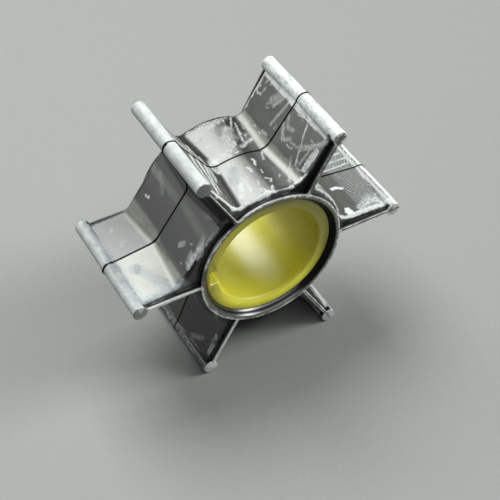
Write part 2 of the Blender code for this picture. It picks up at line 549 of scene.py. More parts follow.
        # Each place is a radius and a distance from mid-length
        for next_radius, next_along in (
            (self.mouth_radius + 0.00005, self.half_length - 0.000013),
            (self.mouth_radius + 0.00001, self.half_length - 0.00005),
            (self.mouth_radius - 0.00003, self.half_length - 0.00011),
            ((self.mouth_radius + self.throat_radius) / 2.0, self.half_length - self.throat_depth * 0.56),
            (self.throat_radius + 0.00003, depth + 0.00006),
            (self.throat_radius, depth - 0.00004),
            (self.throat_radius, depth / 2.0),
            (self.throat_radius, 0.0),
        ):
            grown = bmesh.ops.extrude_edge_only(shape, edges=edges)["geom"]
            corners = [item for item in grown if isinstance(item, BMVert)]
            edges = [item for item in grown if isinstance(item, BMEdge)]
            scale = next_radius / radius
            bmesh.ops.scale(shape, vec=(scale, 1.0, scale), verts=corners)
            bmesh.ops.translate(shape, vec=(0.0, next_along - along, 0.0), verts=corners)
            radius, along = next_radius, next_along


class Dust(Enum):
    """The fields that the dust on the rubber is painted with."""

    CHALK = "chalk"
    FILM = "film"
    COOL = "cool"
    # Bare rubber, which on a few faces also stands for painted shade
    BARED = "bared"


class Stroke(Enum):
    """What one mark does to the dust."""

    CRUST = "thick chalk lies on the rubber"
    STREAK = "a thin streak of chalk lies on the rubber"
    # Some of the film strokes paint highlights
    FILM = "a thin film lies on the rubber"
    WIPE = "chalk and film are wiped off"
    COOL = "the dust is bluer"
    PRINT = "fine curved ridges show in the chalk"


@dataclass(frozen=True)
class Mark:
    """A stroke on the unrolled wall of one valley, in millimetres.

    Args:
        stroke: What the mark does.
        valley: Number of the valley.
        width: Width of the stroke.
        level: Strength, about 0 to 1.
        soft: Width of its faded border.
        points: Points of the stroke as (across the valley, along the axis).
    """

    stroke: Stroke
    valley: int
    width: float
    level: float
    soft: float
    points: tuple[tuple[float, float], ...]


@dataclass(frozen=True)
class Patch:
    """Level of the dust over one part of a valley's wall.

    Args:
        film_front: Film on the front half.
        film_rear: Film on the rear half.
        chalk_front: Chalk on the front half.
        chalk_rear: Chalk on the rear half.
    """

    film_front: float
    film_rear: float
    chalk_front: float
    chalk_rear: float


@dataclass(frozen=True)
class Bead:
    """Dust on one vane's bead and on the ends of that vane.

    Args:
        chalk: Chalk on the bead.
        blue: How blue that chalk is.
        start: Distance across the valley at which the chalk starts, in millimetres.
        rib: Film on the ends of the sealing ribs; on the vanes at 180 and 240 degrees it is raised to paint
            their highlight as well.
        end: Chalk on the round ends of the bead; on the vanes at 240 and 300 degrees it is raised as painted
            light where the hub shades those ends.
    """

    chalk: float
    blue: float
    start: float
    rib: float
    end: float


# The three parts of each valley's wall: the vane before it, the hub and the vane after it
WALLS: tuple[tuple[Patch, Patch, Patch], ...] = (
    (Patch(0.25, 0.36, 0.24, 0.30), Patch(0.35, 0.40, 0.45, 0.42), Patch(0.30, 0.30, 0.22, 0.25)),
    (Patch(0.24, 0.30, 0.10, 0.16), Patch(0.40, 0.26, 0.28, 0.36), Patch(0.32, 0.32, 0.34, 0.30)),
    # Between the vanes at 120 and 180 degrees, the lower face of the vane at 120 degrees carries almost no
    # dust, as painted shade, and the hub hardly any
    (Patch(0.06, 0.06, 0.02, 0.02), Patch(0.04, 0.06, 0.02, 0.02), Patch(1.04, 0.15, 0.20, 0.02)),
    (Patch(0.22, 0.22, 0.14, 0.14), Patch(0.12, 0.12, 0.10, 0.10), Patch(0.08, 0.12, 0.05, 0.06)),
    (Patch(0.20, 0.20, 0.20, 0.20), Patch(0.22, 0.22, 0.25, 0.25), Patch(0.20, 0.20, 0.18, 0.18)),
    (Patch(0.26, 0.26, 0.24, 0.24), Patch(0.28, 0.28, 0.30, 0.30), Patch(0.24, 0.24, 0.20, 0.20)),
)

# Scum along the front shoulder and along the rear shoulder of each valley
SHOULDER_SCUM: tuple[tuple[float, float], ...] = (
    (0.72, 0.55),
    (0.80, 0.60),
    (0.55, 0.40),
    (0.36, 0.40),
    (0.42, 0.45),
    (0.50, 0.50),
)

BEADS: tuple[Bead, ...] = (
    Bead(0.84, 0.35, 16.6, 0.55, 0.70),
    Bead(0.98, 0.12, 14.5, 0.40, 0.64),
    Bead(0.90, 0.58, 15.0, 0.62, 0.26),
    Bead(0.82, 0.56, 15.2, 1.00, 0.30),
    Bead(0.54, 0.62, 16.2, 0.80, 0.78),
    Bead(0.66, 0.50, 14.9, 0.58, 0.90),
)

# Each row holds a kind of stroke, a valley and its marks. A mark is its width, level and soft border,
# and then its points, each as two numbers: across the valley and along the axis.
MARK_ROWS: tuple[tuple[Stroke, int, tuple[tuple[float, ...], ...]], ...] = (
    # Vane at 60 degrees, the face that looks up to the left
    (Stroke.STREAK, 1, (
        (0.16, 0.95, 0.16, -15.7, -4.6, -7.6, -7.5),
        (0.1, 0.95, 0.12, -14.6, -3.7, -15.0, -3.1, -14.7, -2.2, -15.0, -1.4, -15.5, -1.2),
        (0.4, 0.5, 0.35, -12.0, -2.9, -11.6, -1.6, -13.3, -0.3),
        (0.4, 0.68, 0.3, -10.6, -3.6, -9.3, -2.1, -10.5, -1.1, -11.6, -0.3),
        (0.14, 0.8, 0.14, -9.5, -5.1, -9.1, -4.2, -9.3, -3.3),
        (0.25, 0.42, 0.3, -10.3, -5.9, -10.0, -3.9),
        (0.6, 0.6, 0.4, -14.8, -10.7, -12.6, -8.9, -10.6, -6.6),
        (0.12, 0.9, 0.2, -14.2, -10.2, -11.4, -7.2), (0.12, 0.5, 0.2, -13.1, -9.4, -13.0, -7.5),
        (0.22, 0.6, 0.25, -11.6, -8.5, -8.3, -8.2),
        (0.14, 0.75, 0.16, -8.0, -9.6, -7.4, -8.6, -7.8, -7.6, -8.4, -7.5),
        (0.3, 0.52, 0.3, -15.4, 1.4, -12.3, 1.9, -9.6, 2.4), (0.4, 0.55, 0.35, -15.6, 2.8, -12.3, 4.4),
        (0.7, 0.42, 0.8, -15.2, 4.0, -12.8, 5.6), (0.3, 0.8, 0.25, -16.2, 5.4, -15.2, 6.3),
        (0.22, 0.75, 0.25, -16.4, 7.6, -14.7, 8.1), (0.2, 0.7, 0.25, -16.4, 9.0, -14.3, 9.4),
        (0.25, 0.7, 0.3, -16.6, -2.2, -15.4, -1.9), (0.4, 0.7, 0.35, -16.6, -8.6, -15.5, -8.2),
        (0.2, 0.6, 0.22, -13.3, 8.8, -12.3, 9.0),
        (0.1, 0.5, 0.16, -12.0, 5.8, -11.5, 6.4, -11.0, 5.8, -11.4, 5.3),
        (0.26, 0.9, 0.22, -11.9, 9.1, -11.6, 10.1, -12.1, 10.8),
        (0.24, 0.85, 0.22, -13.1, 10.4, -11.7, 10.9), (0.14, 0.95, 0.14, -16.2, 11.2, -7.4, 11.1),
        (0.25, 0.5, 0.3, -7.6, 1.8, -7.4, 3.5), (0.12, 0.95, 0.12, -6.8, 3.1, -6.7, 3.9),
        (0.12, 0.95, 0.12, -6.9, 5.6, -6.8, 6.3), (0.2, 0.6, 0.2, -10.2, 1.0, -9.6, 1.1),
    )),
    (Stroke.CRUST, 1, (
        (0.95, 1.1, 0.35, -12.2, -9.95, -10.1, -9.75, -8.4, -9.75),
        (0.8, 0.95, 0.5, -7.5, -10.9, -6.0, -10.7),
    )),
    (Stroke.WIPE, 1, (
        (0.9, 0.92, 0.4, -16.0, -10.9, -12.6, -11.2, -8.8, -11.4),
    )),
    # Hub between the vanes at 60 and 120 degrees
    (Stroke.WIPE, 1, (
        (1.9, 0.95, 0.35, 5.9, -9.8, 5.9, -0.6), (1.8, 0.92, 0.35, 5.9, 2.0, 5.9, 10.3),
        (3.2, 0.8, 0.9, -2.8, -9.4, -2.8, -0.6), (2.4, 0.85, 0.5, -2.8, 0.9, -2.8, 2.4),
        (0.8, 0.95, 0.6, -2.6, 6.4, -3.3, 9.3), (0.5, 0.9, 0.5, -2.9, 3.3, -3.4, 4.8),
        (0.5, 0.8, 0.5, -4.3, 6.0, -4.6, 10.2), (1.5, 0.9, 0.7, -6.5, -9.8, -6.5, 10.4),
    )),
    (Stroke.CRUST, 1, (
        (0.05, 1.05, 0.22, 7.1, -4.5, 6.8, 7.5), (0.05, 0.98, 0.2, 6.6, -4.0, 6.3, 3.5),
        (0.05, 0.95, 0.2, 7.9, -2.0, 7.6, 9.0),
    )),
    (Stroke.STREAK, 1, (
        (0.5, 0.62, 0.6, 5.0, -1.6, 5.4, -0.5, 5.0, 1.4),
        (0.26, 1.1, 0.3, 8.4, -8.0, 8.7, -4.4, 8.0, -1.0, 8.3, 2.0),
        (0.5, 1.1, 0.45, 10.5, -9.0, 9.9, -5.6, 10.4, -1.6, 9.8, 5.0),
        (0.5, 1.1, 0.45, 12.2, -7.5, 12.9, -3.0, 12.2, 1.8, 12.8, 7.0),
        (1.2, 0.42, 0.7, 3.9, -5.2, 2.7, -2.9), (0.7, 0.75, 0.5, 4.2, -9.0, 3.2, -6.7),
        (0.3, 0.45, 0.5, 2.6, -8.9, 1.9, -5.8), (0.14, 0.6, 0.16, 0.5, -8.4, 0.3, -7.4),
        (0.2, 0.85, 0.16, 0.0, -4.9, -0.1, -4.2, 0.3, -3.5),
        (0.14, 0.9, 0.2, -1.7, -8.6, -2.1, -8.1, -1.3, -7.4), (0.12, 0.8, 0.16, -1.6, -6.0, -1.7, -5.2),
        (0.26, 1.0, 0.18, -1.5, -3.4, -1.9, -2.6, -1.8, -1.9), (0.2, 0.8, 0.26, -0.9, -10.6, -1.3, -9.8),
        (0.28, 1.0, 0.2, -3.8, -2.6, -4.4, -0.9), (0.14, 0.8, 0.14, -3.9, -8.0, -4.3, -7.4),
        (1.0, 0.42, 1.2, 0.6, 2.4, -1.9, 7.4), (0.25, 0.66, 0.6, -1.9, 2.0, -4.5, 3.3),
        (0.16, 0.72, 0.3, -2.9, 3.4, -3.3, 5.4), (0.25, 0.62, 0.5, -0.4, 6.0, -1.7, 7.9),
        (0.12, 0.85, 0.25, -2.6, 7.3, -4.5, 10.8), (0.12, 0.8, 0.25, -3.3, 5.4, -4.3, 8.8),
        (0.6, 0.46, 1.0, 0.6, 9.6, -1.7, 10.9), (0.6, 0.46, 1.0, 1.6, 1.0, 4.6, 1.6),
        (0.24, 0.6, 0.3, -4.9, -9.7, -6.6, -7.6), (0.24, 0.6, 0.3, -6.3, -7.2, -7.9, -5.9),
    )),
    (Stroke.COOL, 1, (
        (1.6, 1.0, 0.6, 3.9, -5.2, 2.7, -2.9),
    )),
    (Stroke.FILM, 1, (
        (1.2, 0.62, 0.9, -6.4, -9.6, -6.4, 10.6),
    )),
    # Upper face of the vane at 0 degrees
    (Stroke.PRINT, 0, (
        (6.6, 0.42, 1.2, -14.7, -8.4, -14.1, 3.2),
    )),
    (Stroke.STREAK, 0, (
        (1.4, 0.5, 1.2, -16.4, -9.4, -13.6, -8.6), (0.22, 0.9, 0.25, -15.6, 1.8, -8.8, 1.2),
        (0.26, 0.8, 0.3, -15.8, 3.4, -9.4, 3.1), (0.22, 0.75, 0.3, -15.8, 5.2, -9.6, 5.0),
        (0.3, 0.75, 0.3, -15.8, 7.3, -10.0, 7.2), (0.8, 0.8, 0.8, -15.6, -9.8, -13.8, -8.8, -11.2, -9.8),
    )),
    (Stroke.COOL, 0, (
        (6.0, 0.5, 2.0, -13.6, -8.0, -13.0, 8.0),
    )),
    (Stroke.WIPE, 0, (
        (1.5, 0.95, 0.8, -10.2, -10.2, -9.2, -7.2), (1.2, 0.95, 0.8, -9.0, -7.2, -8.9, -4.6),
        (1.9, 0.95, 0.8, -9.9, -2.6, -9.1, -0.9),
    )),
    (Stroke.FILM, 0, (
        (2.6, 0.22, 0.8, -9.6, -9.8, -9.2, -1.0),
    )),
    (Stroke.CRUST, 0, (
        (0.2, 0.86, 0.6, -10.4, -4.2, -9.5, -3.6, -8.6, -3.7), (0.6, 0.9, 0.9, -8.6, -11.2, -8.4, -9.6),
        (0.4, 0.74, 0.8, -17.2, -10.9, -9.0, -11.0),
    )),
    # Upper face of the vane at 180 degrees
    (Stroke.COOL, 2, (
        (1.6, 1.0, 0.6, 13.6, -3.4, 12.2, -5.6, 10.2, -9.8), (1.4, 1.0, 1.0, 16.4, -11.4, 16.2, 11.4),
        (1.1, 1.0, 0.6, 8.2, -10.9, 16.0, -10.9),
    )),
    (Stroke.WIPE, 2, (
        (1.1, 0.78, 0.25, 14.0, -3.7, 12.9, -3.2), (0.7, 0.78, 0.25, 13.1, -4.3, 12.5, -5.2),
        (0.16, 0.6, 0.2, 12.6, -4.9, 11.7, -7.0), (0.5, 0.72, 0.25, 11.6, -6.4, 10.6, -7.2),
        (0.8, 0.74, 0.25, 11.3, -7.9, 9.9, -8.7), (0.4, 0.7, 0.25, 10.5, -9.0, 9.9, -10.6),
        (0.25, 0.55, 0.2, 13.6, -8.4, 13.2, -7.9), (0.3, 0.55, 0.2, 12.2, -8.8, 11.7, -8.2),
    )),
    # The band of film along the rear of the fillet at the vane at 180 degrees paints its highlight
    (Stroke.FILM, 2, (
        (2.4, 0.5, 1.8, 7.0, 1.4, 7.0, 10.5),
    )),
    (Stroke.STREAK, 2, (
        (0.6, 0.5, 0.6, 13.3, -4.2, 12.9, -3.4), (0.3, 0.3, 0.4, 13.3, 7.3, 12.9, 7.8),
        (0.4, 0.2, 0.6, 13.0, 3.0, 12.4, 3.8),
    )),
    (Stroke.CRUST, 2, (
        (1.2, 1.0, 0.5, 16.7, -11.9, 16.3, -10.9), (1.0, 0.9, 0.6, 17.6, 9.0, 17.2, 12.0),
    )),
    # Hub between the vanes at 120 and 180 degrees
    (Stroke.STREAK, 2, (
        (0.55, 0.7, 0.45, 2.0, -6.4, 2.8, -5.7), (0.18, 1.2, 0.12, 5.1, -8.5, 5.1, -8.1),
        (0.16, 1.0, 0.12, 0.8, -8.2, 0.9, -7.9), (0.36, 1.0, 0.2, 2.2, 7.5, 2.4, 8.4),
        (0.5, 0.6, 0.5, 3.6, -9.6, 2.0, -9.2), (0.5, 0.5, 0.6, 0.4, -10.0, -1.6, -9.8),
        (0.3, 0.22, 0.6, -0.6, 5.0, -2.9, 8.2), (0.26, 0.75, 0.22, -5.4, -9.0, -5.0, -6.6),
        (0.16, 0.6, 0.2, -4.8, -8.6, -4.9, -7.4),
    )),
    (Stroke.CRUST, 2, (
        (0.7, 0.62, 0.7, 4.2, -10.4, 2.2, -10.2, -0.8, -10.6),
    )),
    # Two bands of film on the hub beside the vane at 120 degrees paint a soft highlight
    (Stroke.FILM, 2, (
        (0.4, 0.46, 1.4, -1.9, -9.6, -2.9, -0.6), (0.4, 0.5, 1.3, -2.4, 0.6, -2.4, 10.5),
    )),
    (Stroke.WIPE, 2, (
        (4.4, 0.95, 1.0, 4.7, -10.0, 4.9, -0.3), (2.6, 0.8, 1.4, 2.6, 0.3, 2.6, 10.5),
    )),
    # Face of the vane at 240 degrees that looks up to the left
    (Stroke.STREAK, 3, (
        (0.5, 0.4, 0.6, 15.2, -5.2, 13.5, -7.9), (0.6, 0.4, 0.7, 7.0, -8.6, 6.8, -5.0),
    )),
    (Stroke.CRUST, 3, (
        (0.6, 0.62, 0.6, 14.6, -11.0, 10.6, -10.9),
    )),
)


def read_marks() -> Iterator[Mark]:
    """Reads the marks from their rows.

    Returns:
        The marks, in the order of the rows.
    """
    for stroke, valley, rows in MARK_ROWS:
        for width, level, soft, *ends in rows:
            yield Mark(stroke, valley, width, level, soft, tuple(zip(ends[::2], ends[1::2])))


def read_vectors(items: Sequence[object], name: str) -> np.ndarray:
    """Reads one vector from each item of a mesh.

    Args:
        items: The points or faces of the mesh.
        name: Name of the vector.

    Returns:
        The vectors, one to a row.
    """
    flat = np.empty(len(items) * 3)
    items.foreach_get(name, flat)
    return flat.reshape(-1, 3)


@dataclass
class DustPainter:
    """Paints the even dust as fields on the points of the rubber moulding. Distances are in millimetres.

    Args:
        rubber: Sizes of the moulding whose walls are unrolled.
        piece: The moulding.
        even_blue: How blue the even dust is.
        scum_blue: How blue the scum on the shoulders is.
        fillet_start: Distance from the middle of a valley at which its fillets start.
        fillet_reach: Width over which the hub's dust turns into the vane's.
        bead_start: Distance from the middle of a valley at which the beads start.
        bead_reach: Width over which the vane's dust turns into the bead's.
        scum_start: Distance from mid-length at which the scum on the shoulders starts.
        scum_end: Distance from mid-length at which it ends.
        root_start: Distance from mid-length at which the bared roots of the ribs start.
        root_end: Distance from mid-length at which they end.
        face_start: Distance from mid-length at which the outer faces start.
        ridge_half: Half width of the bared ridge of the mould's joint.
        hole_radius: Radius inside which the wall of the hub's hole is bared.
        worn_radius: Radius of the rim's worn inner edge.
        worn_half: Half width of the worn line along a rib.
        rim_radius: Radius inside which the outer faces belong to the rim.
        tip_radius: Radius outside which they belong to a bead.
    """

    rubber: RubberMoulding
    piece: Object
    even_blue: float = 0.16
    scum_blue: float = 0.55
    fillet_start: float = 5.6
    fillet_reach: float = 1.6
    bead_start: float = 16.2
    bead_reach: float = 0.9
    scum_start: float = 10.1
    scum_end: float = 12.15
    root_start: float = 11.20
    root_end: float = 12.42
    face_start: float = 12.36
    ridge_half: float = 0.20
    hole_radius: float = 13.80
    worn_radius: float = 14.1
    worn_half: float = 0.15
    rim_radius: float = 15.0
    tip_radius: float = 25.0

    def __post_init__(self) -> None:
        """Finds each point's valley and vane, and its place on the unrolled walls in millimetres."""
        points = read_vectors(self.piece.data.vertices, "co")
        self.angle = np.arctan2(points[:, 2], points[:, 0])
        self.radius = np.hypot(points[:, 0], points[:, 2])
        self.valley, off = self.find_valley(points)
        self.across = np.sign(off) * self.unroll(off) / MM
        self.along = points[:, 1] / MM
        self.vane = np.where(self.across > 0.0, self.valley + 1, self.valley) % self.rubber.vane_count

    def find_valley(self, points: np.ndarray) -> tuple[np.ndarray, np.ndarray]:
        """Finds the valley that each point lies in.

        Args:
            points: Positions of the points.

        Returns:
            The valleys' numbers and each point's angle off the middle of its valley.
        """
        angle = np.arctan2(points[:, 2], points[:, 0]) % FULL_TURN
        valley = np.minimum((angle // self.rubber.pitch).astype(int), self.rubber.vane_count - 1)
        return valley, angle - (valley + 0.5) * self.rubber.pitch

    def reference(self) -> np.ndarray:
        """Gives a fine outline at mid-draft from the middle of the valley to the vane's tip.

        Returns:
            Points as (along the vane, off its middle plane), in metres.
        """
        rubber = self.rubber
        section = rubber.drafted(rubber.straight_end * 0.5)
        centre, first, last, slope = rubber.fillet_arc(section)
        turned = rubber.bead_end(section.half_tip, slope, section.bead)
        foot = centre + rubber.root_fillet * Vector((math.cos(last), math.sin(last)))
        spread = np.linspace(math.pi / rubber.vane_count, math.atan2(foot.y, foot.x), 24)
        swing = np.linspace(last, first, 24)
        turns = (spread, swing, np.linspace(turned, 0.0, 40))
        hub, fillet, bead = (np.stack([np.cos(turn), np.sin(turn)], axis=1) for turn in turns)
        return np.concatenate(
            [
                hub * section.hub,
                np.array(centre) + rubber.root_fillet * fillet,
                bead * section.bead + np.array([rubber.bead_centre, 0.0]),
            ]
        )

    def unroll(self, off: np.ndarray) -> np.ndarray:
        """Finds how far each point lies from the middle of its valley along the wall.

        Args:
            off: Angle of each point off the middle of its valley.

        Returns:
            The distances in metres.
        """
        turn = self.rubber.pitch / 2 - abs(off)
        own = np.stack([self.radius * np.cos(turn), self.radius * np.sin(turn)], axis=1)
        outline = self.reference()
        reached = np.concatenate([[0.0], np.cumsum(np.hypot(*np.diff(outline, axis=0).T))])
        nearest = np.full(len(off), np.inf)
        across = np.zeros(len(off))
        for index, start in enumerate(outline[:-1]):
            run = outline[index + 1] - start
            length = float(np.hypot(*run))
            share = np.clip(((own - start) @ run) / (length * length), 0.0, 1.0)
            apart = np.hypot(*(own - start - share[:, None] * run).T)
            closer = apart < nearest
            nearest = np.where(closer, apart, nearest)
            across = np.where(closer, reached[index] + share * length, across)
        return across

    def paint(self) -> None:
        """Writes the fields of the dust on the points, and the unrolled walls as the UV map."""
        fields = self.lay_base()
        self.clear_edges(fields)
        for kind, values in fields.items():
            layer = self.piece.data.attributes.new(kind.value, "FLOAT", "POINT")
            layer.data.foreach_set("value", values.astype(np.float32))
        self.map_walls()

    def map_walls(self) -> None:
        """Lays the unrolled walls side by side in a UV map, in millimetres."""
        mesh = self.piece.data
        valley, off = self.find_valley(read_vectors(mesh.polygons, "center"))
        side = np.where(off < 0.0, -1.0, 1.0)
        sizes = np.empty(len(mesh.polygons), dtype=np.int32)
        mesh.polygons.foreach_get("loop_total", sizes)
        corners = np.empty(len(mesh.loops), dtype=np.int32)
        mesh.loops.foreach_get("vertex_index", corners)
        first = np.repeat(valley * WALL_SPACING, sizes)
        across = first + np.repeat(side, sizes) * abs(self.across)[corners]
        layer = mesh.uv_layers.new(name=WALL_MAP)
        places = np.stack([across, self.along[corners]], axis=1)
        layer.data.foreach_set("uv", places.ravel().astype(np.float32))

    def lay_base(self) -> dict[Dust, np.ndarray]:
        """Lays the even dust of each wall, the scum on the shoulders and the chalk on the beads.

        Returns:
            The fields of the dust.
        """
        rear = ease((self.along + 0.15) / 0.3)
        before = ease((-self.across - self.fillet_start) / self.fillet_reach)
        after = ease((self.across - self.fillet_start) / self.fillet_reach)
        film = np.zeros(len(self.across))
        chalk = np.zeros(len(self.across))
        cool = np.full(len(self.across), self.even_blue)
        for number, patches in enumerate(WALLS):
            here = self.valley == number
            for share, patch in zip((before, 1.0 - before - after, after), patches):
                film += here * share * (patch.film_front + (patch.film_rear - patch.film_front) * rear)
                chalk += here * share * (patch.chalk_front + (patch.chalk_rear - patch.chalk_front) * rear)
            for scum, reach in zip(SHOULDER_SCUM[number], (-self.along, self.along)):
                band = ease((reach - self.scum_start) / 0.9) * ease((self.scum_end - reach) / 0.50)
                chalk = np.where(here, np.maximum(chalk, scum * band), chalk)
                cool = np.where(here, np.maximum(cool, self.scum_blue * band), cool)
        for number, dust in enumerate(BEADS):
            here = self.vane == number
            bead = ease((abs(self.across) - dust.start) / self.bead_reach)
            chalk = np.where(here, np.maximum(chalk, dust.chalk * bead), chalk)
            cool = np.where(here, cool + (dust.blue - cool) * bead, cool)
        return {Dust.CHALK: chalk, Dust.FILM: film, Dust.COOL: cool}

    def clear_edges(self, fields: dict[Dust, np.ndarray]) -> None:
        """Bares the mould's ridge and the roots of the ribs, and dusts the wiped outer edges.

        Args:
            fields: The fields of the dust, which are changed.
        """
        across, along, reach, radius = self.across, self.along, abs(self.along), self.radius / MM
        flat = self.valley == self.rubber.flat_valley
        ridge = ease((np.where(flat, self.ridge_half + 0.10, self.ridge_half) - reach) / 0.08)
        # The bared roots have a wavy edge, and are wider at the front of the vane at 60 degrees, on the face
        # that looks up to the left
        start = self.root_start + 0.07 * np.sin(across * 1.1) + 0.05 * np.sin(across * 3.7)
        start = start - 0.60 * ((self.valley == 1) & (along < 0.0)) * ease((-3.2 - across) / 2.6)
        on_bead = abs(across) > self.bead_start
        root = ease((reach - start) / 0.50) * ease((self.root_end - reach) / 0.10) * ~on_bead
        # The lower face of the vane at 120 degrees is bare and dull nearly up to its bead, as painted shade
        # under the bead
        shaded = 0.96 * flat * ease((-across - 5.2) / 1.6) * ease((15.6 + across) / 0.5)
        # So is the wall of the hub's hole, most of all on its side towards +X, where the extra dullness is
        # painted shade
        facing = 0.85 + 0.14 * ease((np.cos(self.angle) - 0.42) / 0.20)
        inside = facing * ease((self.hole_radius - radius) / 0.06)
        fields[Dust.BARED] = np.maximum.reduce([ridge, root, inside, shaded])
        # The outer faces of ribs and rim are dusty, and worn along their middle where they are less so
        pitch = self.rubber.pitch
        beside = radius * abs(np.sin(self.angle - np.round(self.angle / pitch) * pitch))
        on_rib = radius > self.rim_radius
        rib_middle = ease((self.worn_half - beside) / 0.10) * on_rib
        middle = np.maximum(rib_middle, ease((self.worn_radius - radius) / 0.15))
        face = ease((reach - self.face_start) / 0.08)
        # High film on the ribs of some vanes paints their highlight as well as dust
        rib = np.where(on_rib, np.array([dust.rib for dust in BEADS])[self.vane], 0.58)
        ends = np.array([dust.end for dust in BEADS])[self.vane]
        end = np.where(radius > self.tip_radius, ends, 0.26 + 0.62 * rib)
        worn = middle * (rib < 0.6)
        fields[Dust.FILM] = fields[Dust.FILM] * (1.0 - face) + (rib - 0.26 * worn) * face
        fields[Dust.CHALK] = fields[Dust.CHALK] * (1.0 - face) + (end - 0.36 * worn) * face


@dataclass
class NodeBench:
    """Places shader nodes in a node tree and joins them.

    A node is placed after all nodes that feed it. The finish of the rubber needs that order,
    because the renderer runs out of room for so many strokes in any other.

    Args:
        tree: The node tree to work in.
    """

    tree: NodeTree

    def place(self, kind: str, **settings: object) -> Node:
        """Places a node.

        Args:
            kind: Kind of the node.
            settings: The node's own properties.

        Returns:
            The node.
        """
        node = self.tree.nodes.new("ShaderNode" + kind)
        for name, value in settings.items():
            setattr(node, name, value)
        return node

    def join(self, value: object, socket: NodeSocket) -> None:
        """Joins a socket to an input, or sets the input to a plain value.

        Args:
            value: The socket or the plain value.
            socket: The input.
        """
        if isinstance(value, NodeSocket):
            self.tree.links.new(value, socket)
        else:
            socket.default_value = value

    def feed(self, node: Node, **values: object) -> Node:
        """Sets or joins a node's inputs.

        Args:
            node: The node to feed.
            values: Input names in lower case with underscores, each with a value or a socket.

        Returns:
            The same node.
        """
        for name, value in values.items():
            wanted = name.replace("_", " ").lower()
            self.join(value, next(item for item in node.inputs if item.name.lower() == wanted))
        return node

    def math(self, operation: str, *values: object, clamp: bool = False) -> NodeSocket:
        """Places a Math node and gives its result.

        Args:
            operation: The node's operation.
            values: Numbers or sockets for its inputs, in order.
            clamp: Whether the result is held between 0 and 1.

        Returns:
            The result's socket.
        """
        node = self.place("Math", operation=operation, use_clamp=clamp)
        for value, socket in zip(values, node.inputs):
            self.join(value, socket)
        return node.outputs[0]

    def vector(self, operation: str, *values: object) -> NodeSocket:
        """Places a Vector Math node and gives its result.

        Args:
            operation: The node's operation.
            values: Vectors or sockets for its inputs, in order.

        Returns:
            The result's socket.
        """
        node = self.place("VectorMath", operation=operation)
        for value, socket in zip(values, node.inputs):
            self.join(value, socket)
        return node.outputs["Value" if operation in NUMBER_RESULTS else "Vector"]

    def blend(self, share: object, first: object, second: object) -> NodeSocket:
        """Mixes two colours by a share and gives the result.

        Args:
            share: A number or a socket, 0 for the first colour and 1 for the second.
            first: A colour or a socket.
            second: A colour or a socket.

        Returns:
            The result's socket.
        """
        node = self.place("Mix", data_type="RGBA", blend_type="MIX")
        for index, value in ((0, share), (6, first), (7, second)):
            self.join(value, node.inputs[index])
        return node.outputs[2]

    def step(self, value: NodeSocket, low: float, high: float) -> NodeSocket:
        """Eases a value from 0 at one limit to 1 at the other and gives the result."""
        node = self.place("MapRange", interpolation_type="SMOOTHSTEP")
        return self.feed(node, value=value, from_min=low, from_max=high).outputs["Result"]

    def noise(
        self, place: NodeSocket, scale: float, detail: float = 3.0, rough: float = 0.55, warp: float = 0.0
    ) -> Node:
        """Places a Noise texture.

        Args:
            place: The socket with the coordinates.
            scale: Waves to the metre.
            detail: Number of finer layers.
            rough: Strength of the finer layers.
            warp: How far the texture twists itself.

        Returns:
            The node. Its value is about 0.5 on average.
        """
        node = self.place("TexNoise", noise_dimensions="3D", normalize=True)
        return self.feed(node, vector=place, scale=scale, detail=detail, roughness=rough, distortion=warp)

    def cloud(self, *settings: object) -> NodeSocket:
        """Places a Noise texture and gives its value."""
        return self.noise(*settings).outputs[0]

    def dent(self, height: NodeSocket, distance: float, strength: float) -> NodeSocket:
        """Places a Bump node and gives its normal."""
        return self.feed(self.place("Bump"), height=height, distance=distance, strength=strength).outputs[0]


def new_group(
    name: str, vectors: Sequence[str], numbers: Sequence[str], results: Sequence[str]
) -> tuple[NodeBench, bpy.types.NodeOutputs, Node]:
    """Starts a shader node group.

    Args:
        name: Name of the group.
        vectors: Names of its vector inputs.
        numbers: Names of its number inputs.
        results: Names of its outputs, which are numbers.

    Returns:
        The bench for its nodes, the sockets of what it is given and its output node.
    """
    tree = bpy.data.node_groups.new(name, "ShaderNodeTree")
    for labels, way, kind in (
        (vectors, "INPUT", "NodeSocketVector"),
        (numbers, "INPUT", "NodeSocketFloat"),
        (results, "OUTPUT", "NodeSocketFloat"),
    ):
        for label in labels:
            tree.interface.new_socket(label, in_out=way, socket_type=kind)
    given = tree.nodes.new("NodeGroupInput")
    return NodeBench(tree), given.outputs, tree.nodes.new("NodeGroupOutput")


def new_finish(name: str) -> tuple[Material, NodeBench, Node, NodeSocket]:
    """Starts a material.

    Args:
        name: Name of the material.

    Returns:
        The material, the bench for its nodes, its shader and the place in the part.
    """
    made = bpy.data.materials.new(name)
    made.use_nodes = True
    bench = NodeBench(made.node_tree)
    return made, bench, made.node_tree.nodes["Principled BSDF"], bench.place("TexCoord").outputs["Object"]


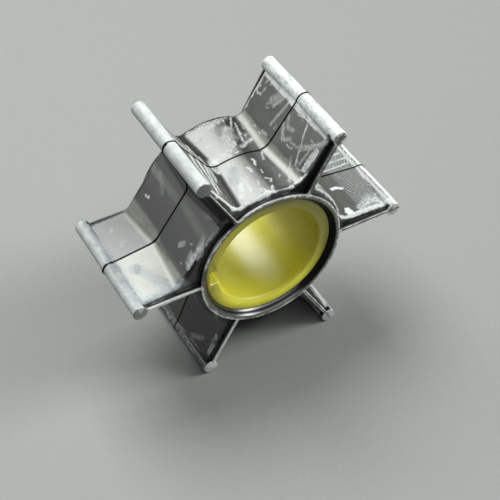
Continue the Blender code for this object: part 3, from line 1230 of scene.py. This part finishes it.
@dataclass(frozen=True)
class ScumEffect:
    """Breaks a smooth level of dust up into ragged scum with specks.

    Args:
        coarse: Waves to the metre of the large patches.
        fine: Waves to the metre of the ragged edges.
        specks: Waves to the metre of the specks.
    """

    coarse: float = 620.0
    fine: float = 2300.0
    specks: float = 6200.0

    def group(self) -> NodeTree:
        """Builds the node group.

        Returns:
            A group from a place and a level to a cover and a height.
        """
        bench, given, result = new_group("ragged scum", ("Place",), ("Level",), ("Cover", "Height"))
        patches = bench.cloud(given["Place"], self.coarse, 4.0, 0.6, 0.35)
        ragged = bench.cloud(given["Place"], self.fine, 4.0, 0.62, 0.6)
        specks = bench.cloud(given["Place"], self.specks, 2.0, 0.5)
        wander = bench.math("MULTIPLY_ADD", patches, 0.95, -0.475)
        fray = bench.math("MULTIPLY_ADD", ragged, 0.85, -0.425)
        speck = bench.math("MULTIPLY_ADD", specks, 0.35, -0.175)
        rough = bench.math("ADD", bench.math("ADD", wander, fray), speck)
        cover = bench.step(bench.math("ADD", given["Level"], rough), 0.42, 0.62)
        height = bench.math("MULTIPLY", cover, bench.math("MULTIPLY_ADD", specks, 0.5, 0.75))
        bench.feed(result, cover=cover, height=height)
        return bench.tree


@dataclass(frozen=True)
class StrokeEffect:
    """Lays the hand-made marks and a few painted highlights as strokes with frayed edges on the unrolled
    walls.

    Args:
        wander: How far the strokes wander off their line, in millimetres.
        waves: Waves to the metre of that wandering.
        fray: How far fibres pull their edges out, in millimetres.
        fibre_turn: Turn of the fibres on the unrolled walls.
        fibre_size: Length and width of the fibres.
        fibre_waves: Waves of the fibres to their own width.
    """

    wander: float = 0.44
    waves: float = 900.0
    fray: float = 0.85
    fibre_turn: tuple[float, float, float] = (0.0, 0.0, math.radians(-24.0))
    fibre_size: tuple[float, float, float] = (2.6, 0.55, 1.0)
    fibre_waves: float = 2.2

    def brush(self) -> NodeTree:
        """Builds the node group for one straight stroke.

        Returns:
            A group from a place, the stroke's start, run and size to its cover.
        """
        vectors = ("Place", "Start", "Run", "Share")
        bench, given, result = new_group("one stroke", vectors, ("Inner", "Outer", "Level"), ("Cover",))
        arm = bench.vector("SUBTRACT", given["Place"], given["Start"])
        share = bench.math("MAXIMUM", bench.vector("DOT_PRODUCT", arm, given["Share"]), 0.0)
        share = bench.math("MINIMUM", share, 1.0)
        nearest = bench.feed(bench.place("VectorMath", operation="SCALE"), vector=given["Run"], scale=share)
        gap = bench.vector("DISTANCE", arm, nearest.outputs[0])
        fade = bench.place("MapRange", interpolation_type="SMOOTHSTEP")
        bench.feed(fade, value=gap, from_min=given["Inner"], from_max=given["Outer"])
        bench.feed(fade, to_min=given["Level"], to_max=0.0)
        bench.feed(result, cover=fade.outputs["Result"])
        return bench.tree

    def group(self, marks: Sequence[Mark]) -> NodeTree:
        """Builds the node group for all marks.

        Args:
            marks: The marks to lay.

        Returns:
            A group from the unrolled place and the place in the part to one cover for each kind of stroke.
        """
        results = [kind.name.capitalize() for kind in Stroke] + ["Fibres"]
        bench, given, result = new_group("hand marks", ("Walls", "Place"), (), results)
        brush = self.brush()
        turned = bench.place("Mapping", vector_type="TEXTURE")
        bench.feed(turned, vector=given["Walls"], rotation=self.fibre_turn, scale=self.fibre_size)
        fibres = bench.noise(turned.outputs[0], self.fibre_waves, 4.0, 0.65, 0.3)
        bench.feed(result, fibres=fibres.outputs[0])
        wander = bench.noise(given["Place"], self.waves, 5.0, 0.70)
        place = given["Walls"]
        for source, amount in ((wander, self.wander), (fibres, self.fray)):
            reach = Vector((amount, amount, 0.0))
            pull = bench.vector("MULTIPLY_ADD", source.outputs["Color"], reach, -reach / 2.0)
            place = bench.vector("ADD", place, pull)
        for kind in Stroke:
            total: object = 0.0
            for mark in (mark for mark in marks if mark.stroke is kind):
                for start, end in zip(mark.points, mark.points[1:]):
                    run = Vector((end[0] - start[0], end[1] - start[1], 0.0))
                    stroke = bench.feed(
                        bench.place("Group", node_tree=brush),
                        place=place,
                        start=(mark.valley * WALL_SPACING + start[0], start[1], 0.0),
                        run=tuple(run),
                        share=tuple(run / run.length_squared),
                        inner=mark.width / 2.0,
                        outer=mark.width / 2.0 + mark.soft,
                        level=mark.level,
                    )
                    total = bench.math("MAXIMUM", total, stroke.outputs["Cover"])
            bench.feed(result, **{kind.name: total})
        return bench.tree


@dataclass(frozen=True)
class RidgeEffect:
    """Fine curved ridges, as a fingertip leaves in chalk.

    Args:
        pitch: Distance between ridges in metres.
        centre: The point that the ridges curve round.
        oval: How much longer than wide their curves are, as a scale of the place.
    """

    pitch: float = 0.00052
    centre: tuple[float, float, float] = (0.0307, -0.0009, 0.0012)
    oval: tuple[float, float, float] = (1.0, 0.82, 0.0)

    def group(self) -> NodeTree:
        """Builds the node group.

        Returns:
            A group from a place to a share that is 1 on the ridges.
        """
        bench, given, result = new_group("curved ridges", ("Place",), (), ("Ridge",))
        shifted = bench.place("Mapping", vector_type="POINT")
        away = tuple(-value for value in self.centre)
        bench.feed(shifted, vector=given["Place"], location=away, scale=self.oval)
        length = bench.vector("LENGTH", shifted.outputs[0])
        reach = bench.math("MULTIPLY_ADD", bench.cloud(given["Place"], 180.0, 1.0, 0.4), 0.0022, length)
        turns = bench.math("MULTIPLY", reach, FULL_TURN / self.pitch)
        bench.feed(result, ridge=bench.math("MULTIPLY_ADD", bench.math("SINE", turns), 0.5, 0.5))
        return bench.tree


@dataclass(frozen=True)
class ChalkedRubber:
    """Satin black rubber with a thin grey film, ragged white chalk and the marks of hands.

    Args:
        bare: Colour of the bare rubber.
        film: Colour of the thin film.
        film_cool: Colour of the thin film where it is blue.
        chalk: Colour of the chalk.
        chalk_cool: Colour of the chalk where it is blue.
    """

    bare: Colour = (0.010, 0.010, 0.010, 1.0)
    film: Colour = (0.290, 0.293, 0.238, 1.0)
    film_cool: Colour = (0.170, 0.193, 0.203, 1.0)
    chalk: Colour = (0.67, 0.69, 0.672, 1.0)
    chalk_cool: Colour = (0.220, 0.240, 0.250, 1.0)

    def material(self, scum: NodeTree, ridges: NodeTree, strokes: NodeTree) -> Material:
        """Builds the material.

        Args:
            scum: The node group for ragged scum.
            ridges: The node group for curved ridges.
            strokes: The node group for the hand marks.

        Returns:
            The material.
        """
        made, bench, shader, place = new_finish("chalked_rubber")
        walls = bench.place("UVMap", uv_map=WALL_MAP).outputs["UV"]
        fields = {kind: bench.place("Attribute", attribute_name=kind.value).outputs["Fac"] for kind in Dust}
        bared = fields[Dust.BARED]
        marks = bench.feed(bench.place("Group", node_tree=strokes), walls=walls, place=place).outputs
        cloud = bench.cloud(place, 430.0, 4.0, 0.6, 0.4)
        grain = bench.cloud(place, 5200.0, 3.0, 0.6)
        ridge = bench.feed(bench.place("Group", node_tree=ridges), place=place).outputs["Ridge"]
        ridged = bench.math("MULTIPLY", marks["Print"], bench.step(ridge, 0.15, 0.75))
        # Thick chalk: what the field and the crust strokes lay, less what is wiped off or bared
        left = bench.math("SUBTRACT", 1.0, marks["Wipe"])
        level = bench.math("MAXIMUM", bench.math("MULTIPLY", fields[Dust.CHALK], left), marks["Crust"])
        level = bench.math("SUBTRACT", level, bared)
        crust = bench.feed(bench.place("Group", node_tree=scum), place=place, level=level).outputs
        # Thin film under it
        clean = bench.math("SUBTRACT", 1.0, bared, clamp=True)
        kept = bench.math("MULTIPLY", fields[Dust.FILM], bench.math("MULTIPLY_ADD", left, 0.77, 0.09))
        film = bench.math("MULTIPLY", bench.math("MAXIMUM", kept, marks["Film"]), clean)
        fibrous = bench.math("MULTIPLY_ADD", marks["Fibres"], 0.6, 0.20)
        uneven = bench.math("MULTIPLY_ADD", cloud, 1.0, fibrous)
        thick = bench.math("MULTIPLY", film, uneven, clamp=True)
        cool = bench.math("MAXIMUM", fields[Dust.COOL], marks["Cool"], clamp=True)
        dusted = bench.blend(thick, self.bare, bench.blend(cool, self.film, self.film_cool))
        # Thin streaks and ridges, drawn out in fibres and grains
        drawn_out = bench.math("MULTIPLY", marks["Fibres"], 3.4)
        thin = bench.math("ADD", drawn_out, bench.math("MULTIPLY_ADD", grain, 2.4, -2.10))
        drawn_on = bench.math("MULTIPLY", bench.math("MAXIMUM", marks["Streak"], ridged), thin)
        streak = bench.math("MULTIPLY", drawn_on, clean, clamp=True)
        # Colour of the chalk, mottled along the axis
        drawn = bench.feed(bench.place("Mapping", vector_type="TEXTURE"), vector=place, scale=(1.0, 2.6, 1.0))
        mottle = bench.step(bench.cloud(drawn.outputs[0], 1500.0, 5.0, 0.72, 0.4), 0.40, 0.68)
        varied = bench.math("MULTIPLY", cool, bench.math("MULTIPLY_ADD", cloud, 1.3, 0.25), clamp=True)
        blue = bench.math("MAXIMUM", varied, bench.math("MULTIPLY", mottle, 0.62))
        chalk = bench.blend(blue, self.chalk, self.chalk_cool)
        opaque = bench.math("MULTIPLY", crust["Cover"], bench.math("MULTIPLY_ADD", mottle, -0.22, 0.95))
        colour = bench.blend(opaque, dusted, chalk)
        colour = bench.blend(bench.math("MULTIPLY", streak, 0.88), colour, chalk)
        bench.feed(shader, base_color=colour)
        cover = bench.math("MAXIMUM", crust["Cover"], streak)
        satin = bench.math("MULTIPLY_ADD", grain, 0.10, 0.24)
        filmed = bench.math("MULTIPLY_ADD", thick, 0.12, satin)
        bench.feed(shader, roughness=bench.math("MULTIPLY_ADD", cover, 0.34, filmed))
        waves = bench.cloud(place, 260.0, 2.0, 0.5)
        relief = bench.math("MULTIPLY_ADD", crust["Height"], 0.6, bench.math("MULTIPLY", grain, 0.20))
        height = bench.math("MULTIPLY_ADD", waves, 0.7, relief)
        bench.feed(shader, normal=bench.dent(height, 0.00006, 0.5))
        # Bared rubber is duller; where the bared field is painted shade, this darkens the reflections as well
        dull = bench.step(bared, 0.87, 0.99)
        bench.feed(shader, specular_ior_level=bench.math("MULTIPLY_ADD", dull, -0.80, 0.84))
        return made


@dataclass(frozen=True)
class Side:
    """One side of the insert, towards which the colour darkens. Distances are in metres.

    Args:
        towards: Direction from the shaft's axis.
        start: Distance that way at which the darkening starts.
        full: Distance that way at which it is at its strongest.
    """

    towards: tuple[float, float, float]
    start: float
    full: float


@dataclass(frozen=True)
class YellowPlastic:
    """Glossy yellow plastic that lets a little light through.

    Args:
        body: Main colour.
        deep: Colour of the cloudier parts.
        darker_amber: Colour of the darker bottom of the bore and of the dull chamfer.
        dark_olive: Colour of the darker upper sides: towards the upper right, and as painted shade on the end
            faces towards the upper left.
        bottom: The side of the bore that is made darker towards its bottom.
        toward_upper_right: The side of the insert towards the upper right, which is made darker.
        shaded: The side of the end faces towards the upper left, darkened as painted shade from the recess.
        bore_edge: Radii between which the bore's darker bottom fades out into the end faces.
        lip_inside: Radii between which the dull chamfer starts.
        lip_outside: Radii between which it ends.
    """

    body: Colour = (0.86, 0.81, 0.055, 1.0)
    deep: Colour = (0.75, 0.695, 0.026, 1.0)
    darker_amber: Colour = (0.38, 0.345, 0.002, 1.0)
    dark_olive: Colour = (0.25, 0.22, 0.006, 1.0)
    bottom: Side = Side((-0.3, 0.0, -0.95), 0.0035, 0.0100)
    toward_upper_right: Side = Side((0.80, 0.0, 0.60), -0.0020, 0.0095)
    shaded: Side = Side((-0.78, 0.0, 0.62), 0.0005, 0.0085)
    bore_edge: tuple[float, float] = (0.01085, 0.01060)
    lip_inside: tuple[float, float] = (0.01049, 0.01058)
    lip_outside: tuple[float, float] = (0.01097, 0.01087)

    def material(self) -> Material:
        """Builds the material.

        Returns:
            The material.
        """
        made, bench, shader, place = new_finish("yellow_plastic")
        cloud = bench.cloud(place, 160.0, 3.0, 0.55, 0.4)
        grain = bench.cloud(place, 3600.0, 3.0, 0.6)
        # Where the chamfer, the bore and the darker sides lie
        flat = bench.feed(bench.place("Mapping", vector_type="POINT"), vector=place, scale=(1.0, 0.0, 1.0))
        radius = bench.vector("LENGTH", flat.outputs[0])
        in_bore = bench.step(radius, *self.bore_edge)
        outside = bench.step(radius, *self.lip_inside)
        lip = bench.math("MULTIPLY", outside, bench.step(radius, *self.lip_outside))
        low, toward_upper_right, shaded = (
            bench.step(bench.vector("DOT_PRODUCT", place, side.towards), side.start, side.full)
            for side in (self.bottom, self.toward_upper_right, self.shaded)
        )
        low = bench.math("MULTIPLY", low, in_bore)
        # The end faces are darkened towards the upper left, as painted shade from the recess
        on_face = bench.math("MULTIPLY", shaded, bench.math("SUBTRACT", 1.0, in_bore))
        colour = bench.blend(bench.step(cloud, 0.35, 0.72), self.body, self.deep)
        # Darker towards the bottom of the bore, towards the upper right and on the dull chamfer, with painted
        # shade on the upper left of the end faces
        for cover, strength, darker_tone in (
            (low, 0.85, self.darker_amber),
            (toward_upper_right, 0.80, self.dark_olive),
            (on_face, 0.70, self.dark_olive),
            (lip, 0.60, self.darker_amber),
        ):
            colour = bench.blend(bench.math("MULTIPLY", cover, strength), colour, darker_tone)
        rough = bench.math("MULTIPLY_ADD", lip, 0.25, 0.43)
        height = bench.math("MULTIPLY_ADD", cloud, 1.2, bench.math("MULTIPLY", grain, 0.12))
        bench.feed(
            shader,
            base_color=colour,
            roughness=bench.math("MULTIPLY_ADD", grain, 0.10, rough),
            normal=bench.dent(height, 0.00005, 0.35),
            ior=1.49,
            specular_ior_level=1.0,
            subsurface_weight=0.35,
            subsurface_radius=(1.0, 0.75, 0.12),
            subsurface_scale=0.0016,
            coat_weight=0.45,
            coat_roughness=0.30,
        )
        return made


@dataclass(frozen=True)
class PaleFloorFinish:
    """Plain pale floor paint with a faint grain.

    Args:
        tone: Main colour.
        darker: Colour of the grain.
    """

    tone: Colour = (0.215, 0.22, 0.21, 1.0)
    darker: Colour = (0.190, 0.195, 0.185, 1.0)

    def material(self) -> Material:
        """Builds the material.

        Returns:
            The material.
        """
        made, bench, shader, place = new_finish("pale_floor")
        grain = bench.cloud(place, 1400.0, 2.0, 0.6)
        bench.feed(shader, base_color=bench.blend(grain, self.tone, self.darker), roughness=0.62)
        return made


@dataclass
class HubInsert:
    """The yellow plastic lining of the hub: a turned ring with one keyway. All sizes in metres."""

    outer_radius: float = 0.0129
    bore_radius: float = 0.0105
    half_length: float = 0.0114
    chamfer: float = 0.00035
    outer_round: float = 0.00012
    keyway_half: float = 0.0015
    keyway_floor: float = 0.0121
    keyway_corner: float = 0.0003
    lip_round: float = 0.0003
    arc_steps: int = 84
    straight_steps: int = 3
    corner_steps: int = 4
    row_step: float = 0.0008

    def draw_bore(self, shape: BMesh, along: float, grown: float) -> Edges:
        """Draws half the outline of the bore with half the keyway.

        Args:
            shape: The mesh under construction.
            along: Distance from mid-length.
            grown: How far the chamfer has widened the bore.

        Returns:
            The edges of the outline.
        """
        bore = self.bore_radius + grown
        half = self.keyway_half + grown * 0.5
        floor = self.keyway_floor + grown * 0.3
        bend = self.keyway_corner
        lip = self.lip_round
        pen = Pen(shape, along, -floor)
        pen.line(-floor, half - bend, self.straight_steps)
        pen.arc(bend - floor, half - bend, -math.pi / 2, self.corner_steps)
        # The lip's round leads from the keyway's side wall into the bore
        centre = Vector((-math.sqrt((bore + lip) ** 2 - (half + lip) ** 2), half + lip))
        pen.line(centre.x, half, self.straight_steps)
        pen.arc(*centre, math.pi / 2 - math.atan2(centre.y, -centre.x), self.corner_steps)
        pen.arc(0.0, 0.0, -pen.angle(), self.arc_steps - 2 * (self.straight_steps + self.corner_steps))
        return pen.edges()

    def draw_outside(self, shape: BMesh, along: float, inset: float) -> Edges:
        """Draws half the outside of the ring.

        Args:
            shape: The mesh under construction.
            along: Distance from mid-length.
            inset: How far the rounded edge has pulled the outline in.

        Returns:
            The edges of the outline.
        """
        pen = Pen(shape, along, inset - self.outer_radius)
        pen.arc(0.0, 0.0, -math.pi, self.arc_steps)
        return pen.edges()

    def build(self) -> Object:
        """Builds the whole insert.

        Returns:
            The piece, without its finish.
        """
        shape = bmesh.new()
        end = self.half_length
        bevel = end - self.chamfer
        bend = self.outer_round
        # Each place is a distance from mid-length, and how far the edge's round has pulled the ring in
        outside = ((0.0, 0.0), (end - bend, 0.0), (end - bend * 0.3, bend * 0.3), (end, bend))
        # Each place is a distance from mid-length, and how far the chamfer has widened the bore
        inside = [(end, self.chamfer), (end - 0.00004, self.chamfer - 0.00009), (bevel + 0.00009, 0.00004)]
        inside.append((bevel - 0.00003, 0.0))
        rows = round(bevel / self.row_step)
        inside += [(bevel * row / rows, 0.0) for row in range(rows - 1, -1, -1)]
        outlines = [self.draw_outside(shape, *place) for place in outside]
        loft(shape, outlines + [self.draw_bore(shape, *place) for place in inside])
        for axis in ("Z", "Y"):
            mirror(shape, axis)
        return finish_shell(shape, "yellow_insert")


@dataclass
class Studio:
    """Pale floor, soft lights and the camera. Sizes are in metres, and lens and sensor in millimetres."""

    floor_level: float
    floor_half: float = 1.2
    light_colour: tuple[float, float, float] = (0.97, 1.0, 0.985)
    air_colour: Colour = (0.80, 0.86, 0.90, 1.0)
    air_strength: float = 0.085
    azimuth: float = math.radians(-29.57)
    elevation: float = math.radians(45.88)
    distance: float = 0.2259
    aside: float = 0.00211
    below: float = 0.00609
    lens: float = 86.4
    sensor: float = 36.0

    def lay_floor(self) -> None:
        """Lays the floor under the part and marks it as no part of the object."""
        shape = bmesh.new()
        bmesh.ops.create_grid(shape, x_segments=8, y_segments=8, size=self.floor_half)
        bmesh.ops.translate(shape, verts=shape.verts, vec=(0.0, 0.0, self.floor_level))
        floor = show("floor", make_mesh(shape, "floor"))
        floor.data.materials.append(PaleFloorFinish().material())
        floor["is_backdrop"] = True

    def hang_light(
        self, name: str, towards: Vector, reach: float, size: tuple[float, float], power: float
    ) -> None:
        """Hangs a soft rectangular light that faces the part.

        Args:
            name: Name of the light.
            towards: Direction from the part to the light.
            reach: Distance of the light.
            size: Its width and height.
            power: Its power in watts.
        """
        lamp = bpy.data.lights.new(name, "AREA")
        lamp.shape = "RECTANGLE"
        lamp.size, lamp.size_y = size
        lamp.energy = power
        lamp.color = self.light_colour
        holder = show(name, lamp)
        holder.location = towards.normalized() * reach
        holder.rotation_euler = (-towards).to_track_quat("-Z", "Y").to_euler()

    def light_up(self) -> None:
        """Sets the soft studio light."""
        self.hang_light("softbox", Vector((-0.033, 0.53, 0.85)), 0.55, (0.40, 0.34), 4.6)
        self.hang_light("side_lamp", Vector((0.80, -0.28, 0.53)), 0.80, (0.30, 0.30), 6.8)
        self.hang_light("front_strip", Vector((0.16, -0.51, 0.84)), 0.80, (0.95, 0.13), 2.3)
        self.hang_light("back_card", Vector((-0.78, 0.58, 0.22)), 0.80, (0.26, 0.26), 0.5)
        world = bpy.data.worlds.new("studio_air")
        world.use_nodes = True
        air = world.node_tree.nodes["Background"].inputs
        air["Color"].default_value = self.air_colour
        air["Strength"].default_value = self.air_strength
        bpy.context.scene.world = world
        bpy.context.scene.view_settings.view_transform = "Standard"

    def set_camera(self) -> None:
        """Sets the camera at the photograph's viewing angle."""
        level = math.cos(self.elevation)
        height = math.sin(self.elevation)
        right = Vector((math.cos(self.azimuth), math.sin(self.azimuth), 0.0))
        back = Vector((math.sin(self.azimuth) * level, -math.cos(self.azimuth) * level, height))
        up = back.cross(right)
        data = bpy.data.cameras.new("camera")
        data.lens = self.lens
        data.sensor_width = self.sensor
        data.sensor_fit = "HORIZONTAL"
        data.clip_start = 0.01
        data.clip_end = 10.0
        camera = show("camera", data)
        spot = right * self.aside - up * self.below + back * self.distance
        camera.matrix_world = Matrix.Translation(spot) @ Matrix((right, up, back)).transposed().to_4x4()
        bpy.context.scene.camera = camera


def carry(piece: Object, node: str, finish: Material) -> None:
    """Dresses a piece and lets it stand for its solid.

    Args:
        piece: The finished piece.
        node: The solid that it stands for.
        finish: The piece's material.
    """
    piece.data.materials.append(finish)
    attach(piece, "root")
    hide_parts(node)
    LOG.info("%s: %d faces", piece.name, len(piece.data.polygons))


def main() -> None:
    """Builds the pieces, dresses them and sets the studio."""
    logging.basicConfig(level=logging.INFO, format="%(name)s %(message)s")
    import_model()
    low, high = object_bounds()
    rubber = RubberMoulding()
    moulding = rubber.build()
    DustPainter(rubber, moulding).paint()
    strokes = StrokeEffect().group(list(read_marks()))
    finish = ChalkedRubber().material(ScumEffect().group(), RidgeEffect().group(), strokes)
    carry(moulding, "rubber_moulding", finish)
    carry(HubInsert().build(), "hub_insert", YellowPlastic().material())
    studio = Studio(floor_level=low.z)
    studio.lay_floor()
    studio.light_up()
    studio.set_camera()


if __name__ == "__main__":
    main()
